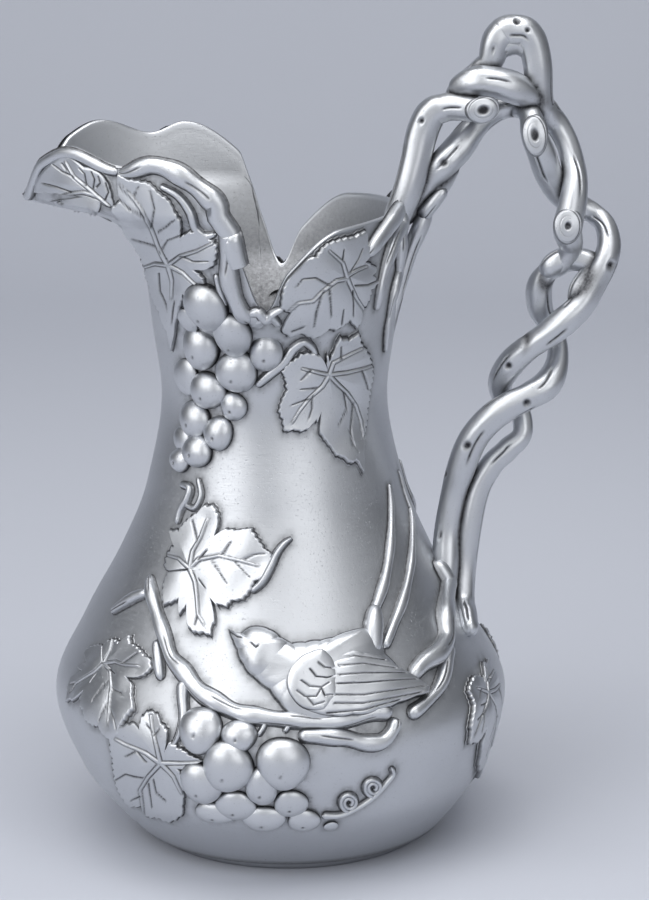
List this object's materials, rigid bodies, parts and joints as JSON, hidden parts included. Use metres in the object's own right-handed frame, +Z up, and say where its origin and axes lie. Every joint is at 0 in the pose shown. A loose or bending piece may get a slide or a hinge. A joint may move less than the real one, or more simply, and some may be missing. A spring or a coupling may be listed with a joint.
{
  "type": "water pitcher",
  "caption": "Cast metal water pitcher with a drawn-out spout, a twisted vine handle, and grapevine and bird relief on its bowl and neck.",
  "frame": {"origin": "middle of the foot, on the surface that the pitcher stands on", "axes": "+Z up, +X to the handle, -X to the spout, -Y the near side"},
  "size_m": [0.2313, 0.196, 0.3238],
  "materials": {
    "cast_body": "satin polished sand casting with fine pits",
    "cast_base": "turned and soldered, dull",
    "vine_handle": "satin polished with dark patina in the grooves",
    "relief": "polished high spots, dark patina round the outlines"
  },
  "bodies": {
    "root": {"base_disc": "cast_base", "bird_far": "relief", "bird_near": "relief", "bird_tail_far": "relief", "bird_tail_near": "relief", "body_shell": "cast_body", "bowl_grapes_far": "relief", "bowl_grapes_near": "relief", "bowl_leaf_far": "relief", "bowl_leaf_near": "relief", "branch_far": "relief", "branch_near": "relief", "collar_leaf_far": "relief", "collar_leaf_near": "relief", "foot_ring": "cast_base", "handle_arched_vine": "vine_handle", "handle_bridge": "vine_handle", "handle_cut_vine": "vine_handle", "handle_inner_vine": "vine_handle", "heel_leaf_far": "relief", "heel_leaf_near": "relief", "low_leaf_far": "relief", "low_leaf_near": "relief", "neck_grapes_far": "relief", "neck_grapes_near": "relief", "neck_leaf_far": "relief", "neck_leaf_near": "relief", "rim_vine_far": "relief", "rim_vine_near": "relief", "side_leaf_far": "relief", "side_leaf_near": "relief", "spout_leaf_far": "relief", "spout_leaf_near": "relief", "tendril_far": "relief", "tendril_near": "relief", "throat_leaf_far": "relief", "throat_leaf_near": "relief", "vine_root_far": "relief", "vine_root_near": "relief"}
  },
  "joints": []
}
